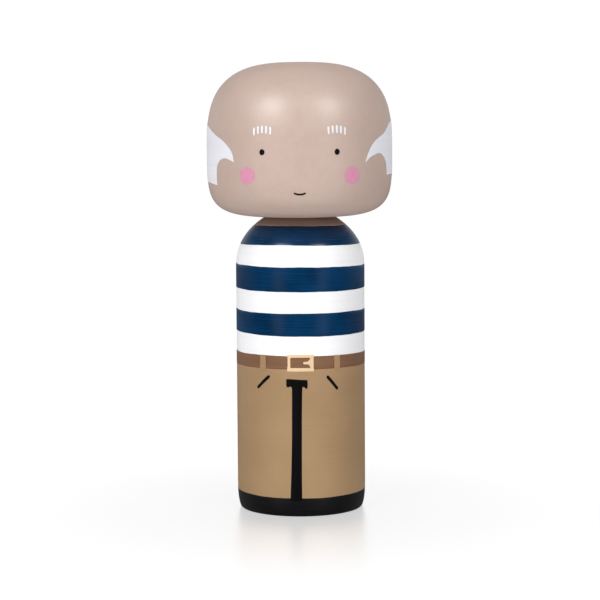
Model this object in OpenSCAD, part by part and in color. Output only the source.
// Kokeshi doll: a lathe-turned head that turns by hand on a dowel glued in a
// lathe-turned body. The doll stands on the origin, looks along -Y, and +Z is
// the axis on which every piece is turned.

/* [Body] */
// Diameter of the straight sides
body_d = 41.8; // [36:0.2:52]
// Height from the base to the flat seat that carries the head
body_h = 95.4; // [80:0.2:115]
// Height of the domed shoulder, from the straight sides up to the seat
shoulder_h = 15.4; // [8:0.2:24]
// Diameter of the flat seat under the head
seat_d = 22.1; // [18:0.1:34]
// Sideways reach of the dome's elliptic arc
shoulder_reach = 25; // [16:1:40]
// Height over which the foot draws in to the base
foot_h = 8; // [2:0.5:12]
// How far the foot draws in
foot_in = 1.4; // [0.5:0.1:3]

/* [Head] */
// Diameter at the widest place
head_d = 60; // [50:1:72]
// Height of the crown above the widest place
crown_h = 27.8; // [22:0.1:36]
// Height of the jaw below the widest place
jaw_h = 21.9; // [16:0.1:26]
// Squareness of the crown: 2 is an ellipse, more is boxier
crown_power = 2.95; // [2:0.05:5]
// Squareness of the jaw
jaw_power = 4.7; // [2:0.1:6]
// Diameter of the flat face under the head, which rests on the seat
face_d = 27; // [20:0.5:34]

/* [Neck dowel] */
// Diameter of the dowel
dowel_d = 10; // [6:1:14]
// Depth of the dowel's bore in the body
body_bore_depth = 22; // [14:1:30]
// Length of the dowel that stands up into the head
dowel_reach = 18; // [10:1:20]
// Bevel at both ends of the dowel
dowel_bevel = 1; // [0.4:0.1:1.5]
// Number of glue flutes around its lower half
flute_count = 12; // [6:1:16]
// Radius of a glue flute
flute_r = 0.5; // [0.3:0.05:0.7]
// Length left without flutes below the seat
flute_stop = 3; // [1:0.5:6]

/* [Fits] */
// Radial gap that the glue fills between dowel and body
glue_gap = 0.05; // [0.02:0.01:0.1]
// Radial running clearance between dowel and head
turning_gap = 0.05; // [0.02:0.01:0.1]
// Gap between the neck seat and the head
seat_gap = 0.05; // [0.02:0.01:0.3]
// Free length above the dowel in the head's bore
bore_end_gap = 2; // [0.5:0.5:4]
// Countersink at the mouth of each bore
countersink = 0.8; // [0.4:0.1:1.5]

/* [Hidden] */

$fn = 96;
// Steps along each curved stretch of a turned outline
arc_steps = 24;
// Length by which a cut runs past the face that it opens
cut = 0.2;

body_r = body_d / 2;
seat_r = seat_d / 2;
dowel_r = dowel_d / 2;
dowel_l = body_bore_depth + dowel_reach;
dowel_z = body_h - body_bore_depth;
head_z = body_h + seat_gap;
head_bore_depth = dowel_reach - seat_gap + bore_end_gap;

// Points of a superelliptic arc from the widest radius r in to the radius rim,
// which it meets at the height h away from the widest place
function turned_arc(r, h, power, rim) =
    let (sweep = acos(pow(rim / r, power / 2)))
    let (full_h = h / pow(sin(sweep), 2 / power))
    [
        for (i = [0:arc_steps])
            let (t = sweep * i / arc_steps)
            [r * pow(cos(t), 2 / power), full_h * pow(sin(t), 2 / power)]
    ];

// Points of the elliptic dome from the straight side up to the rim of the seat
function shoulder_arc() =
    let (sweep = acos(1 - (body_r - seat_r) / shoulder_reach))
    let (rise = shoulder_h / sin(sweep))
    [
        for (i = [0:arc_steps])
            let (t = sweep * i / arc_steps)
            [body_r - shoulder_reach * (1 - cos(t)), body_h - shoulder_h + rise * sin(t)]
    ];

// Points of the quarter ellipse from the rim of the base up to the straight side
function foot_arc() = [
    for (i = [0:arc_steps])
        let (t = 90 * i / arc_steps)
        [body_r - foot_in * (1 - sin(t)), foot_h * (1 - cos(t))]
];

// A blind bore from a mouth at z = 0 down along -Z, countersunk at the mouth
module blind_bore(r, depth) {
    translate([0, 0, -depth]) cylinder(r = r, h = depth + cut);
    translate([0, 0, -countersink])
        cylinder(r1 = r, r2 = r + countersink + cut, h = countersink + cut);
}

// Turned body blank: foot, straight sides, domed shoulder, seat and dowel bore
module body() {
    color("white")
    difference() {
        rotate_extrude()
            polygon(concat([[0, 0]], foot_arc(), shoulder_arc(), [[0, body_h]]));
        translate([0, 0, body_h]) blind_bore(dowel_r + glue_gap, body_bore_depth);
    }
}

// Dowel: bevelled at both ends, with glue flutes along the part inside the body
module neck_dowel() {
    flute_l = body_bore_depth - flute_stop;
    color("burlywood")
    translate([0, 0, dowel_z])
    difference() {
        rotate_extrude()
            polygon([
                [0, 0], [dowel_r - dowel_bevel, 0], [dowel_r, dowel_bevel],
                [dowel_r, dowel_l - dowel_bevel], [dowel_r - dowel_bevel, dowel_l], [0, dowel_l]
            ]);
        for (i = [0:flute_count - 1])
            rotate([0, 0, 360 * i / flute_count])
            translate([dowel_r, 0, -cut]) cylinder(r = flute_r, h = flute_l + cut, $fn = 24);
    }
}

// Turned head blank: the underside is faced flat where it rests on the seat
module head() {
    crown = turned_arc(head_d / 2, crown_h, crown_power, 0);
    jaw = turned_arc(head_d / 2, jaw_h, jaw_power, face_d / 2);
    color("tan")
    translate([0, 0, head_z])
    difference() {
        rotate_extrude()
            polygon(concat(
                [[0, 0]],
                [for (i = [arc_steps:-1:1]) [jaw[i][0], jaw_h - jaw[i][1]]],
                [for (p = crown) [p[0], jaw_h + p[1]]]
            ));
        rotate([180, 0, 0]) blind_bore(dowel_r + turning_gap, head_bore_depth);
    }
}

body();
neck_dowel();
head();
